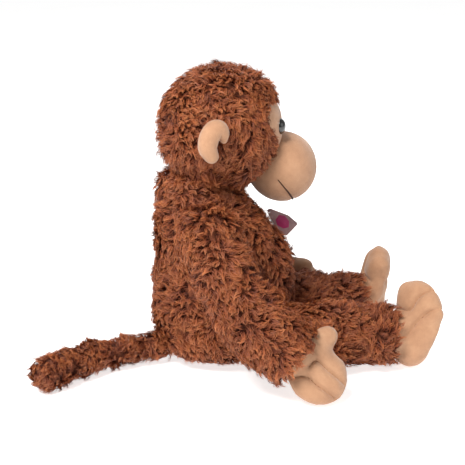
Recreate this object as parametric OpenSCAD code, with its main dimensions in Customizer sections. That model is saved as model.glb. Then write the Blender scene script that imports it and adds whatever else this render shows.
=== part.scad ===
// Seated plush monkey: fur covers over fibre filling, velour face, hands and feet.
// The monkey faces +X, its left side is +Y and +Z is up. The origin is the middle of the flat seat.

/* [Fabric] */
// Thickness of the fur fabric with its pile lying down
fur_t = 8; // [6:0.5:9]
// Thickness of the short velour fabric
velour_t = 1.6; // [1.2:0.1:2.4]
// Free space between pieces that touch
gap = 0.4; // [0.3:0.05:0.6]

/* [Head] */
// Radius of the head over its fur
head_r = 60; // [57:0.5:61]
// Height of the middle of the head above the floor
head_z = 232; // [230:1:236]
// Radius of the muzzle
muzzle_r = 34; // [31:0.5:35]
// Radius of a safety eye
eye_r = 7; // [5:0.5:8]
// Height of an ear
ear_h = 46; // [38:1:50]

/* [Body] */
// Front-to-back depth of the body at its widest
body_depth = 140; // [134:1:144]
// Side-to-side width of the body at its widest
body_width = 112; // [104:1:114]

/* [Arms] */
// Radius of an arm over its fur
arm_r = 28; // [27:0.5:30]
// Length of an arm along its curve, from shoulder to cuff
arm_len = 137; // [130:1:140]
// Thickness of a stuffed hand
hand_t = 24; // [20:1:26]

/* [Legs] */
// Radius of a leg over its fur
leg_r = 30; // [28:0.5:31]
// Length of a leg from hip to cuff
leg_len = 122; // [116:1:126]
// Thickness of a stuffed foot
foot_t = 27; // [22:1:30]

/* [Tail] */
// Radius of the tail over its fur
tail_r = 15; // [12:0.5:16]
// Length of the tail along its curve
tail_len = 120; // [100:1:130]

/* [Hidden] */

FUR = "saddlebrown";
VELOUR = "burlywood";
FIBRE = "whitesmoke";
THREAD = "maroon";

RIGHT = -1;
LEFT = 1;
$fn = 64;

// ---------- body ----------
// Stations up the body: height, middle in x, half depth and half width as shares of the widest.
BODY = [
    [0, 0, 0.70, 0.72],
    [7, 0, 0.84, 0.87],
    [22, 0, 0.94, 0.96],
    [46, 0.5, 1.00, 1.00],
    [78, 1, 1.00, 0.99],
    [104, 0, 0.97, 0.95],
    [126, -6, 0.86, 0.88],
    [147, -13, 0.75, 0.79],
    [162, -18.5, 0.61, 0.68],
    [170, -20, 0.46, 0.52]
];
BODY_TOP = BODY[len(BODY) - 1][0];
BODY_SIDES = 28;
HEAD = [-1, 0, head_z];

// ---------- limbs ----------
arm_lean = 23;
arm_bow_r = 188;
arm_bow = arm_len / arm_bow_r * 180 / PI;
function shoulder(s) = s == RIGHT ? [-25, -69, 148] : [-4, 69, 148];
function arm_start(s) = s == RIGHT ? 9 : 20;
function hip(s) = s == RIGHT ? [34, -48, 37] : [34, 46, 38];
function leg_turn(s) = s == RIGHT ? -6 : -1;
leg_drop = 2;
tail_root = [-58, 0, 18];
tail_bow_r = 170;
tail_bow = tail_len / tail_bow_r * 180 / PI;

// Digits as [start, end, radius], with x along them and y towards the thumb or the big toe.
FINGERS = [
    [[12, 12], [27, 26], 10.5],
    [[18, 6], [43, 7], 12],
    [[18, -3], [44, -8], 12],
    [[14, -10], [36, -20], 12]
];
TOES = [
    [[14, 10], [36, 14], 11],
    [[20, 4], [41, 2], 11.5],
    [[18, -4], [37, -10], 12],
    [[12, -10], [27, -20], 12]
];
FINE = 12;
SMOOTH = 20;

function unit(v) = v / norm(v);

// Places children at p with their x along fwd and their z near up.
module facing(p, fwd, up) {
    x = unit(fwd);
    y = unit(cross(up, x));
    z = cross(x, y);
    multmatrix([
        [x[0], y[0], z[0], p[0]],
        [x[1], y[1], z[1], p[1]],
        [x[2], y[2], z[2], p[2]],
        [0, 0, 0, 1]
    ]) children();
}

// Solid through oval rings: each station is [z, middle x, half depth, half width].
module loft(stations, sides) {
    n = len(stations);
    points = [for (s = stations, i = [0:sides - 1])
        [s[1] + s[2] * cos(360 * i / sides), s[3] * sin(360 * i / sides), s[0]]];
    walls = [for (r = [0:n - 2], i = [0:sides - 1])
        let (j = (i + 1) % sides)
        [[r * sides + i, (r + 1) * sides + i, (r + 1) * sides + j],
         [r * sides + i, (r + 1) * sides + j, r * sides + j]]];
    polyhedron(
        points = points,
        faces = concat(
            [for (pair = walls, t = pair) t],
            [[for (i = [0:sides - 1]) i]],
            [[for (i = [sides - 1:-1:0]) (n - 1) * sides + i]]
        ));
}

// Body stations, drawn in by inset on every side.
function body_stations(inset) = [for (s = BODY)
    [min(max(s[0], inset), BODY_TOP - inset), s[1],
     s[2] * body_depth / 2 - inset, s[3] * body_width / 2 - inset]];
function inner_body(inset) = [for (i = [1:len(BODY) - 2]) body_stations(inset)[i]];

module body_shape() loft(body_stations(0), BODY_SIDES);

// ---------- places of the limbs ----------
module arm_place(s) translate(shoulder(s)) rotate([s * arm_lean, 0, 0]) children();

// Tube along the arm's bow from the share a to the share b of its length.
module arm_tube(s, r, a, b) {
    start = arm_start(s);
    translate([arm_bow_r * cos(start), 0, arm_bow_r * sin(start)])
        rotate([90, 0, 0])
            rotate([0, 0, 180 + start + arm_bow * a])
                rotate_extrude(angle = arm_bow * (b - a)) translate([arm_bow_r, 0]) circle(r);
}

function arm_point(s, a) =
    let (t = arm_start(s) + arm_bow * a, t0 = arm_start(s))
    [arm_bow_r * (cos(t0) - cos(t)), 0, arm_bow_r * (sin(t0) - sin(t))];
// The same point in the monkey's own frame.
function lean(s, v) =
    let (a = s * arm_lean)
    [v[0], v[1] * cos(a) - v[2] * sin(a), v[1] * sin(a) + v[2] * cos(a)];
function wrist(s) = shoulder(s) + lean(s, arm_point(s, 1));

module leg_place(s) translate(hip(s)) rotate([0, leg_drop, leg_turn(s)]) children();
function leg_dir(s) =
    [cos(leg_turn(s)) * cos(leg_drop), sin(leg_turn(s)) * cos(leg_drop), -sin(leg_drop)];
function ankle(s) = hip(s) + leg_len * leg_dir(s);

// Room that a limb needs in the body, whatever its pose.
module arm_room(s) arm_place(s) {
    sphere(arm_r + 2.2);
    rotate([90, 0, 0]) cylinder(r = 170, h = 2 * (arm_r + gap), center = true);
}
hip_up = -30;
hip_down = 80;
module leg_room(s) leg_place(s) {
    sphere(leg_r + 1.2);
    rotate([90, 0, 0]) rotate([0, 0, -hip_down])
        rotate_extrude(angle = hip_down - hip_up)
            translate([0, -leg_r - gap]) square([130, 2 * (leg_r + gap)]);
    for (a = [hip_up, hip_down])
        rotate([0, a + 90, 0]) cylinder(r = leg_r + gap + 0.3, h = 130);
}
module tail_room() translate(tail_root) sphere(tail_r + 2.2);
neck_r = 22;
neck_z = 152;
module neck_room() {
    translate(HEAD) sphere(head_r + gap);
    translate([HEAD[0], 0, neck_z - gap]) cylinder(r = neck_r + gap, h = 60);
}
module limb_rooms() {
    for (s = [RIGHT, LEFT]) {
        arm_room(s);
        leg_room(s);
    }
    tail_room();
    neck_room();
}

// ---------- torso ----------
module torso_cover() color(FUR) difference() {
    body_shape();
    loft(inner_body(fur_t + gap), BODY_SIDES);
    limb_rooms();
}

module pouch_zone(grow)
    translate([-8, 0, 16]) scale([1, 0.8, 0.5]) sphere(34 + grow);

module torso_stuffing() color(FIBRE) difference() {
    loft(inner_body(fur_t + 2 * gap), BODY_SIDES);
    translate([0, 0, -1]) cube([200, 200, 2 * (fur_t + 2)], center = true);
    limb_rooms();
    pouch_zone(gap);
    for (s = [RIGHT, LEFT]) {
        arm_place(s) sphere(arm_r + fur_t);
        leg_place(s) sphere(leg_r + 2);
    }
}

module bean_pouch() color("lightgray") difference() {
    pouch_zone(0);
    translate([0, 0, -1]) cube([200, 200, 2 * (fur_t + 2) + gap], center = true);
    for (s = [RIGHT, LEFT]) leg_room(s);
}

module neck_stuffing() color(FIBRE) difference() {
    translate([HEAD[0], 0, neck_z]) cylinder(r = neck_r, h = 40);
    translate(HEAD) sphere(head_r + gap);
}

// ---------- head ----------
face_r = head_r - fur_t + velour_t;
MUZZLE = HEAD + [head_r * 1.03, 0, -head_r * 0.68];
module face_zone(grow) translate([HEAD[0], 0, head_z]) rotate([0, 90, 0]) {
    for (s = [RIGHT, LEFT]) translate([-8, s * 16, 20]) cylinder(r = 24 + grow, h = 60);
    translate([14, 0, 20]) cylinder(r = 27 + grow, h = 60);
}
// Spheres of the head and the muzzle turned so that their poles lie on the line between them.
muzzle_tilt = acos((MUZZLE - HEAD)[2] / norm(MUZZLE - HEAD));
module muzzle_ball(inset) translate(MUZZLE) rotate([0, muzzle_tilt, 0]) sphere(muzzle_r - inset);
module head_ball(inset) translate(HEAD) rotate([0, muzzle_tilt, 0]) sphere(head_r - inset);
module eye_place(s)
    facing(HEAD + face_r * unit([0.94, s * 0.29, 0.05]), [0.94, s * 0.29, 0.05], [0, 0, 1])
        children();
module ear_place(s) translate(HEAD + [-19, s * (head_r - 4), 2]) children();
ear_base_r = 6;

module head_cover() color(FUR) difference() {
    head_ball(0);
    head_ball(fur_t);
    face_zone(gap);
    muzzle_ball(-gap);
    for (s = [RIGHT, LEFT]) ear_place(s) cylinder(r = ear_base_r + gap, h = ear_h, center = true);
}

module face_panel() color(VELOUR) difference() {
    intersection() {
        head_ball(head_r - face_r);
        face_zone(0);
    }
    head_ball(fur_t);
    muzzle_ball(-gap);
    for (s = [RIGHT, LEFT]) eye_place(s) rotate([0, 90, 0])
        cylinder(r = eye_shank_r + 0.2, h = 60, center = true);
}

module head_stuffing() color(FIBRE) difference() {
    head_ball(fur_t + gap);
    for (s = [RIGHT, LEFT]) {
        eye_place(s) translate([-22, 0, 0]) rotate([0, 90, 0]) cylinder(r = eye_r + 2.5, h = 40);
        ear_place(s) cylinder(r = ear_base_r + gap, h = ear_h, center = true);
    }
}

module muzzle_cover() color(VELOUR) difference() {
    muzzle_ball(0);
    muzzle_ball(velour_t);
    head_ball(fur_t - gap);
}
module muzzle_stuffing() color(FIBRE) difference() {
    muzzle_ball(velour_t + gap / 2);
    head_ball(fur_t - gap);
}

// The mouth is the front of the circle where a sloping plane cuts the muzzle.
mouth_thread_r = 0.8;
mouth_drop = 13;
mouth_slope = 50;
mouth_half = 96;
mouth_r = sqrt(pow(muzzle_r + mouth_thread_r + 0.1, 2) - pow(mouth_drop, 2));
module mouth_stitching() color(THREAD) translate(MUZZLE) rotate([0, mouth_slope, 0])
    translate([0, 0, -mouth_drop]) rotate([0, 0, -mouth_half]) rotate_extrude(angle = 2 * mouth_half)
        translate([mouth_r, 0]) circle(mouth_thread_r);

eye_shank_r = 2;
eye_dome = 4.5;
module eye(s) color("black") eye_place(s) rotate([0, 90, 0]) {
    intersection() {
        translate([0, 0, gap / 2]) cylinder(r = eye_r, h = eye_dome);
        translate([0, 0, eye_dome - eye_r * 1.35 + gap / 2]) sphere(eye_r * 1.35);
    }
    translate([0, 0, -12]) cylinder(r = eye_shank_r, h = 13);
}
module eye_washer(s) color("white") eye_place(s) rotate([0, 90, 0]) difference() {
    translate([0, 0, -6]) cylinder(r = eye_r + 1.5, h = 2);
    cylinder(r = eye_shank_r + 0.1, h = 60, center = true);
}

// An ear is a padded flap on a rounded base, standing out sideways and back.
ear_out = 19;
ear_back = 9;
ear_thick = 8;
module ear(s) color(VELOUR) ear_place(s) hull() {
    for (z = [-1, 1]) translate([0, 0, z * (ear_h / 2 - 12)]) sphere(ear_base_r - 1, $fn = FINE);
    translate([-ear_back * 0.6, s * ear_out * 0.65, 0])
        scale([ear_thick / 2, ear_out * 0.4, ear_h / 2]) sphere(1, $fn = SMOOTH);
    translate([-ear_back, s * ear_out, 2]) scale([1, 1, 2.6]) sphere(ear_thick / 2, $fn = FINE);
}

// ---------- arms ----------
cuff_socket_r = 24;
module cuff_socket(s) translate(arm_point(s, 1)) sphere(cuff_socket_r + gap);
module arm_cover(s) color(FUR) arm_place(s) difference() {
    union() {
        arm_tube(s, arm_r, 0, 1);
        sphere(arm_r + 1.5);
    }
    arm_tube(s, arm_r - fur_t, 0, 0.86);
    sphere(arm_r - fur_t + 1.5);
    cuff_socket(s);
}
module arm_stuffing(s) color(FIBRE) arm_place(s) difference() {
    union() {
        arm_tube(s, arm_r - fur_t - gap, 0, 0.85);
        sphere(arm_r - fur_t - gap + 1.5);
    }
    cuff_socket(s);
}

// ---------- hands and feet ----------
module digit(d, inset) hull() {
    for (i = [0, 1]) translate(concat(d[i], 0)) sphere(d[2] - inset, $fn = FINE);
}
module pad(p, wide, long, thick, inset)
    translate(p) scale([long - inset, wide - inset, thick / 2 - inset]) sphere(1, $fn = SMOOTH);

// Threads that draw the fabric in between the digits, laid on both faces.
thread_r = 0.6;
module seams(digits, t) for (side = [-1, 1], i = [1, 2]) {
    a = (digits[i][0] + digits[i + 1][0]) / 2;
    b = (digits[i][1] + digits[i + 1][1]) / 2;
    translate([a[0], a[1], side * (t / 2 + thread_r)])
        rotate([0, 90, atan2(b[1] - a[1], b[0] - a[0])]) cylinder(r = thread_r, h = norm(b - a));
}

module hand_shape(inset) {
    for (d = FINGERS) digit(d, inset);
    pad([16, 0, 0], 24, 25, hand_t + 4, inset);
}
function hand_fwd(s) = s == RIGHT ? [0.85, -0.32, -0.39] : [0.93, 0.05, -0.36];
function hand_up(s) = s == RIGHT ? [-0.12, -0.82, 0.56] : [0.28, 0.45, 0.85];
// A left hand is the mirror image of a right one.
module hand_place(s) facing(wrist(s), hand_fwd(s), hand_up(s)) scale([1, -s, 1]) children();
wrist_r = cuff_socket_r - 0.5;
// The neck of a hand or a foot, where its filling goes in.
filling_r = 14;
// Filling is drawn in this far from the outside of its mitt.
filling_inset = velour_t + 1;
module open_neck() translate([-60, 0, 0]) rotate([0, 90, 0]) cylinder(r = filling_r, h = 60, $fn = SMOOTH);
module hand_cover(s) color(VELOUR) hand_place(s) difference() {
    union() {
        hand_shape(0);
        sphere(wrist_r, $fn = SMOOTH);
    }
    hand_shape(velour_t);
    sphere(wrist_r - velour_t, $fn = SMOOTH);
    open_neck();
}
module hand_filling(s) color(FIBRE) hand_place(s) {
    hand_shape(filling_inset);
    sphere(wrist_r - filling_inset, $fn = SMOOTH);
}
module finger_stitching(s) color(THREAD) hand_place(s) seams(FINGERS, hand_t + 6.5);

// ---------- legs ----------
ankle_socket_r = 24;
module ankle_socket() translate([leg_len, 0, 0]) sphere(ankle_socket_r + gap);
// A leg is round at the hip and narrows a little over its last few millimetres.
cuff_taper = 12;
cuff_step = 5;
module leg_profile(r, long, taper) rotate([0, 90, 0]) rotate_extrude() intersection() {
    hull() {
        circle(r);
        translate([0, long - taper - 1]) square([r, 1]);
        translate([0, long - 1]) square([r - cuff_step, 1]);
    }
    translate([0, -60]) square([60, 260]);
}
module leg_cover(s) color(FUR) leg_place(s) difference() {
    leg_profile(leg_r, leg_len, cuff_taper);
    leg_profile(leg_r - fur_t, leg_len - 9, 2);
    ankle_socket();
}
module leg_stuffing(s) color(FIBRE) leg_place(s) difference() {
    leg_profile(leg_r - fur_t - gap, leg_len - 9 - gap, 2);
    ankle_socket();
}

function foot_fwd(s) = s == RIGHT ? [0.22, 0.02, 0.97] : [0.16, -0.02, 0.98];
function foot_up(s) = s == RIGHT ? [-0.88, -0.44, 0.16] : [-0.96, 0.20, 0.16];
foot_reach = 16;
ankle_r = ankle_socket_r - 0.5;
module foot_place(s) facing(ankle(s), foot_fwd(s), foot_up(s)) scale([1, -s, 1]) children();
module foot_at() translate([5.5, -9, -foot_reach]) children();
module foot_shape(inset) foot_at() {
    for (d = TOES) digit(d, inset);
    pad([14, -4, 0], 25, 25, foot_t + 3, inset);
    pad([-10, -3, 0], 23, 24, foot_t + 5, inset);
}
module foot_cover(s) color(VELOUR) foot_place(s) difference() {
    union() {
        foot_shape(0);
        sphere(ankle_r, $fn = SMOOTH);
    }
    foot_shape(velour_t);
    sphere(ankle_r - velour_t, $fn = SMOOTH);
    rotate([0, -90, 0]) open_neck();
}
module foot_filling(s) color(FIBRE) foot_place(s) {
    foot_shape(filling_inset);
    sphere(ankle_r - filling_inset, $fn = SMOOTH);
}
module toe_stitching(s) color(THREAD) foot_place(s) foot_at() seams(TOES, foot_t + 6);

// ---------- tail ----------
// The tail curves round to the right and grows a little thicker towards its tip.
tail_links = 9;
tail_grows = 0.3;
function tail_at(t) = [-tail_bow_r * sin(t * tail_bow), -tail_bow_r * (1 - cos(t * tail_bow)), 0];
function tail_size(t) = tail_r * (1 - tail_grows / 2 + tail_grows * t);
module tail_chain(inset, links) for (i = [0:links - 1]) hull() for (t = [i, i + 1])
    translate(tail_at(t / tail_links)) sphere(tail_size(t / tail_links) - inset, $fn = SMOOTH);
module tail_mouth(r) rotate([0, 90, 0]) cylinder(r = r, h = 40, $fn = SMOOTH);
module tail_cover() color(FUR) translate(tail_root) difference() {
    tail_chain(0, tail_links);
    tail_chain(fur_t, tail_links - 1);
    tail_mouth(tail_size(0) - fur_t - 0.3);
}
module tail_stuffing() color(FIBRE) translate(tail_root) tail_chain(fur_t + gap, tail_links - 1);

// ---------- swing tag ----------
// A card with a pointed end, its hole at the point, and a second leaf behind it.
tag_t = 0.6;
tag_long = 30;
tag_wide = 18;
tag_point = 3;
tag_hole_r = 1.6;
loop_r = 5.7;
insert_turn = 8;
loop_thread_r = 0.45;
TAG = [52, 14, 143];
module tag_place() facing(TAG, [0.74, -0.15, -0.66], [0.35, 0.93, 0]) children();
module tag_leaf(long) linear_extrude(height = tag_t, center = true) difference() {
    hull() {
        circle(tag_point);
        translate([long * 0.6, -tag_wide / 2]) square([long * 0.4, tag_wide]);
    }
    circle(tag_hole_r);
}
module tag_card() color("plum") tag_place() tag_leaf(tag_long);
module tag_insert() color("white") tag_place()
    translate([0, 0, -tag_t - 0.1]) rotate([0, 0, insert_turn]) tag_leaf(tag_long - 1);
module tag_loop() color("white") translate(TAG - [loop_r, 0, 0])
    rotate_extrude() translate([loop_r, 0]) circle(loop_thread_r);

torso_cover();
torso_stuffing();
bean_pouch();
neck_stuffing();
head_cover();
head_stuffing();
face_panel();
muzzle_cover();
muzzle_stuffing();
eye(RIGHT);  // eye_right
eye(LEFT);  // eye_left
eye_washer(RIGHT);  // eye_washer_right
eye_washer(LEFT);  // eye_washer_left
mouth_stitching();
ear(RIGHT);  // ear_right
ear(LEFT);  // ear_left
arm_cover(RIGHT);  // arm_cover_right
arm_stuffing(RIGHT);  // arm_stuffing_right
hand_cover(RIGHT);  // hand_cover_right
hand_filling(RIGHT);  // hand_filling_right
finger_stitching(RIGHT);  // finger_stitching_right
arm_cover(LEFT);  // arm_cover_left
arm_stuffing(LEFT);  // arm_stuffing_left
hand_cover(LEFT);  // hand_cover_left
hand_filling(LEFT);  // hand_filling_left
finger_stitching(LEFT);  // finger_stitching_left
leg_cover(RIGHT);  // leg_cover_right
leg_stuffing(RIGHT);  // leg_stuffing_right
foot_cover(RIGHT);  // foot_cover_right
foot_filling(RIGHT);  // foot_filling_right
toe_stitching(RIGHT);  // toe_stitching_right
leg_cover(LEFT);  // leg_cover_left
leg_stuffing(LEFT);  // leg_stuffing_left
foot_cover(LEFT);  // foot_cover_left
foot_filling(LEFT);  // foot_filling_left
toe_stitching(LEFT);  // toe_stitching_left
tail_cover();
tail_stuffing();
tag_card();
tag_insert();
tag_loop();
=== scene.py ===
# %% [markdown]
# # A seated plush monkey
# The toy is sewn from long-pile fur and short velour, stuffed with fibre, and sits with its legs
# out in front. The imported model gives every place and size: each soft solid in it is replaced here
# by cloth that looks like cloth, and each piece rides on the body that it is sewn to.

# %% Load the frame
import math

import bpy
import numpy as np
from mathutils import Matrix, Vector


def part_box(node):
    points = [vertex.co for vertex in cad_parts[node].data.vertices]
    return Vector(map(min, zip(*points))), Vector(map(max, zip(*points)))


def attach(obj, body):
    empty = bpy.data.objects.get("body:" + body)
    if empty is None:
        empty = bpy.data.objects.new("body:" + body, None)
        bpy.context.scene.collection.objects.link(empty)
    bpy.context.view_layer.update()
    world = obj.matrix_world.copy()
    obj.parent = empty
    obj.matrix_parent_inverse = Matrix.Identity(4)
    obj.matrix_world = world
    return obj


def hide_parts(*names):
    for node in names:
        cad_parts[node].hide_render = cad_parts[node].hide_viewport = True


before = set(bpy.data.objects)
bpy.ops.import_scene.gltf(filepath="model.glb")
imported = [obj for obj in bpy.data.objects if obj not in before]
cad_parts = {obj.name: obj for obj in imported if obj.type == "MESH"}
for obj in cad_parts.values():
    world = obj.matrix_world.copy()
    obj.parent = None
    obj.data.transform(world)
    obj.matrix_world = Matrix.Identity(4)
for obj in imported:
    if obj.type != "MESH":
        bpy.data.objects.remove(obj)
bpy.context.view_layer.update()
MM = 0.001
SIDES = {"right": -1, "left": 1}

# %% [markdown]
# ## Camera, light and floor
# A long lens from behind the monkey's right shoulder keeps its proportions flat and honest. The
# light is a big soft box above on the left, a weak one on the right and an even pale room, as in
# a packshot. The floor is one pale sheet that glows a little, so that it comes out white.

# %% Camera
AZIMUTH, ELEVATION = math.radians(13), math.radians(16)
TARGET = Vector((0.0179, 0.0308, 0.1187))
DISTANCE = 1.150
LENS = 89.0
forward = Vector((math.sin(AZIMUTH) * math.cos(ELEVATION),
                  math.cos(AZIMUTH) * math.cos(ELEVATION), -math.sin(ELEVATION)))
scene = bpy.context.scene
camera = bpy.data.objects.new("camera", bpy.data.cameras.new("camera"))
scene.collection.objects.link(camera)
camera.data.lens = LENS
camera.data.sensor_width = 36
camera.data.clip_end = 20
camera.location = TARGET - forward * DISTANCE
camera.rotation_euler = forward.to_track_quat("-Z", "Y").to_euler()
scene.camera = camera
scene.view_settings.view_transform = "Standard"
scene.view_settings.look = "None"


# %% Soft boxes and room light
def soft_box(name, place, size, power, colour):
    light = bpy.data.lights.new(name, "AREA")
    light.shape = "DISK"
    light.size = size
    light.energy = power
    light.color = colour
    box = bpy.data.objects.new(name, light)
    box.location = place
    box.rotation_euler = (TARGET - Vector(place)).to_track_quat("-Z", "Y").to_euler()
    scene.collection.objects.link(box)


soft_box("key", (-0.85, -0.9, 1.7), 0.8, 50, (1.0, 0.97, 0.93))
soft_box("fill", (1.3, -0.9, 0.8), 1.2, 3, (0.97, 0.98, 1.0))
soft_box("back", (0.2, 1.4, 1.3), 1.0, 10, (1.0, 1.0, 1.0))
world = bpy.data.worlds.new("room")
scene.world = world
world.use_nodes = True
world.node_tree.nodes["Background"].inputs["Color"].default_value = (1.0, 1.0, 1.0, 1)
world.node_tree.nodes["Background"].inputs["Strength"].default_value = 0.30
print("camera at", [round(v, 3) for v in camera.location])

# %% [markdown]
# ## Writing shaders as sums
# A shader is easier to read as arithmetic than as a web of nodes. `Value` wraps one output socket
# and turns +, -, * and / into Math nodes. `Paint` starts a material, and its `node` method adds any
# other node from its type, its settings and what goes into its sockets.


# %% Values and paints
class Value:
    def __init__(self, paint, socket):
        self.paint, self.socket = paint, socket

    def math(self, operation, first, second):
        return self.paint.node("ShaderNodeMath", {0: first, 1: second}, operation=operation)

    def __add__(self, other): return self.math("ADD", self, other)
    def __radd__(self, other): return self.math("ADD", other, self)
    def __sub__(self, other): return self.math("SUBTRACT", self, other)
    def __rsub__(self, other): return self.math("SUBTRACT", other, self)
    def __mul__(self, other): return self.math("MULTIPLY", self, other)
    def __rmul__(self, other): return self.math("MULTIPLY", other, self)
    def __truediv__(self, other): return self.math("DIVIDE", self, other)
    def __rtruediv__(self, other): return self.math("DIVIDE", other, self)
    def __pow__(self, other): return self.math("POWER", self, other)


class Paint:
    def __init__(self, name, roughness, **fixed):
        self.material = bpy.data.materials.new(name)
        self.material.use_nodes = True
        self.tree = self.material.node_tree
        self.surface = self.tree.nodes["Principled BSDF"]
        self.surface.inputs["Roughness"].default_value = roughness
        for socket, value in fixed.items():
            self.surface.inputs[socket.replace("_", " ")].default_value = value

    def node(self, kind, sockets, output=0, stops=None, **settings):
        made = self.tree.nodes.new(kind)
        for key, value in settings.items():
            setattr(made, key, value)
        if stops:
            ramp = made.color_ramp
            while len(ramp.elements) < len(stops):
                ramp.elements.new(1.0)
            for element, (place, colour) in zip(ramp.elements, stops):
                element.position = place
                element.color = (*colour, 1) if len(colour) == 3 else colour
        for key, value in sockets.items():
            named = [s for s in made.inputs if s.identifier == key]
            socket = made.inputs[key] if isinstance(key, int) or not named else named[0]
            if isinstance(value, Value):
                self.tree.links.new(value.socket, socket)
            else:
                socket.default_value = value
        named = [s for s in made.outputs if s.identifier == output]
        return Value(self, named[0] if named else made.outputs[output])

    def mix(self, factor, a, b, blend="MIX"):
        return self.node("ShaderNodeMix", {"Factor_Float": factor, "A_Color": a, "B_Color": b},
                         output="Result_Color", data_type="RGBA", blend_type=blend)

    def place(self):
        return self.node("ShaderNodeTexCoord", {}, output="Object")

    def noise(self, scale, detail=2.0, rough=0.5, at=None):
        return self.node("ShaderNodeTexNoise", {"Vector": at or self.place(), "Scale": scale,
                                                "Detail": detail, "Roughness": rough})

    def attribute(self, name):
        return self.node("ShaderNodeAttribute", {}, output="Fac", attribute_name=name)

    def ramp(self, value, stops):
        return self.node("ShaderNodeValToRGB", {"Fac": value}, stops=stops)

    def bump(self, height, strength, depth):
        return self.node("ShaderNodeBump", {"Strength": strength, "Distance": depth,
                                            "Height": height})

    def feed(self, socket, value):
        self.tree.links.new(value.socket, self.surface.inputs[socket])


def srgb(r, g, b):
    return tuple(c / 255 / 12.92 if c <= 10 else ((c / 255 + 0.055) / 1.055) ** 2.4
                 for c in (r, g, b))


def rgba(r, g, b):
    return (*srgb(r, g, b), 1.0)


# %% [markdown]
# ## Finishes
# Fur gets its colour along each fibre: nearly black-brown at the root, which is partly painted shade
# deep in the pile, chestnut in the middle and orange at the tip, and each lock is a little lighter or
# darker than the next. The dark brown backing under the fur is painted shade in the gaps between the
# locks. Velour is a short nap: a faint mottle, a fine bump and some sheen. The rest are the small hard
# and paper parts.


# %% Fur and its backing
def fur_paint_with_root_shade():
    paint = Paint("long fur", 0.62)
    tip, tone = paint.attribute("tip"), paint.attribute("tone")
    # The dark root is partly the fibre's own colour and partly painted shade deep in the pile.
    along = paint.ramp(tip, [(0.0, srgb(72, 28, 13)), (0.3, srgb(138, 64, 29)),
                             (0.65, srgb(184, 100, 52)), (1.0, srgb(220, 138, 82))])
    patch = paint.noise(38.0, 2.0)
    shade = tone * 0.7 + patch * 0.5 - 0.1
    lit = paint.mix(shade, rgba(136, 104, 94), rgba(255, 255, 255))
    paint.feed("Base Color", paint.mix(1.0, along, lit, "MULTIPLY"))
    paint.feed("Roughness", 0.72 - tip * 0.18)
    return paint.material


def backing_paint_with_gap_shade():
    paint = Paint("fur backing with painted shade", 0.9, Sheen_Weight=0.1)
    grain = paint.noise(900.0, 3.0)
    # This dark brown is painted shade: it shows in the gaps between the locks as the shadow between
    # them.
    paint.feed("Base Color", paint.ramp(grain, [(0.3, srgb(104, 50, 28)), (0.7, srgb(134, 72, 42))]))
    paint.feed("Normal", paint.bump(grain, 0.6, 0.0006))
    return paint.material


# %% Velour, thread and fillings
def velour_paint():
    paint = Paint("velour", 0.8, Sheen_Weight=0.35, Sheen_Roughness=0.45)
    mottle = paint.noise(55.0, 3.0, 0.6)
    nap = paint.noise(1500.0, 4.0, 0.7)
    brushed = paint.noise(240.0, 3.0, 0.6)
    tone = mottle * 0.5 + brushed * 0.25 + nap * 0.25
    paint.feed("Base Color", paint.ramp(tone, [(0.25, srgb(160, 116, 86)),
                                               (0.5, srgb(182, 137, 104)),
                                               (0.75, srgb(199, 156, 122))]))
    paint.feed("Roughness", 0.7 + brushed * 0.2)
    paint.feed("Normal", paint.bump(nap * 0.6 + brushed * 0.4, 0.8, 0.0008))
    return paint.material


def plain_paint(name, low, high, scale, roughness, depth, **fixed):
    paint = Paint(name, roughness, **fixed)
    grain = paint.noise(scale, 4.0, 0.6)
    paint.feed("Base Color", paint.ramp(grain, [(0.3, srgb(*low)), (0.7, srgb(*high))]))
    paint.feed("Roughness", roughness + (grain - 0.5) * 0.15)
    paint.feed("Normal", paint.bump(grain, 0.4, depth))
    return paint.material


PAINTS = {
    "fur": fur_paint_with_root_shade(),
    "backing": backing_paint_with_gap_shade(),
    "velour": velour_paint(),
    "filling": plain_paint("fibre filling", (214, 210, 202), (246, 244, 238), 260.0, 0.9, 0.0015,
                           Sheen_Weight=0.3),
    "bean cloth": plain_paint("bean cloth", (176, 178, 182), (212, 213, 215), 1400.0, 0.85, 0.0003),
    "thread": plain_paint("thread", (46, 20, 12), (74, 34, 20), 2600.0, 0.7, 0.0002),
    "eye": plain_paint("eye plastic", (7, 6, 6), (16, 12, 10), 30.0, 0.09, 0.00001,
                       Coat_Weight=1.0, Coat_Roughness=0.03),
    "washer": plain_paint("nylon", (214, 214, 208), (232, 232, 228), 400.0, 0.45, 0.0001),
    "loop": plain_paint("clear nylon", (210, 208, 206), (236, 235, 233), 500.0, 0.25, 0.0001),
    "paper": plain_paint("tag paper", (226, 222, 220), (243, 241, 239), 900.0, 0.6, 0.0001),
    # The finger and toe thread is partly its own brown and partly painted crease shade along the
    # stitched lines.
    "stitch thread with painted crease shade": plain_paint("stitch thread with painted crease shade", (112, 68, 44), (138, 90, 60), 2600.0, 0.8, 0.0002),
    "film": plain_paint("tag film", (148, 118, 120), (168, 138, 138), 120.0, 0.25, 0.0001,
                        Coat_Weight=0.6),
    "print": plain_paint("tag print", (150, 30, 84), (176, 44, 104), 200.0, 0.35, 0.0001),
    "floor": plain_paint("floor", (232, 232, 232), (238, 238, 238), 3.0, 0.8, 0.0001,
                         Emission_Color=(1.0, 1.0, 1.0, 1.0), Emission_Strength=0.71),
}
print("finishes:", ", ".join(PAINTS))

# %% [markdown]
# ## Cloth shapes as stacks of rings
# Every stuffed tube is a stack of rings round a bent line, which is how a pattern cutter thinks of
# it too. A skin keeps its rings as one array of points, so that its own surface, the filling under
# it and the roots of its fur all come from the same numbers.


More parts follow.
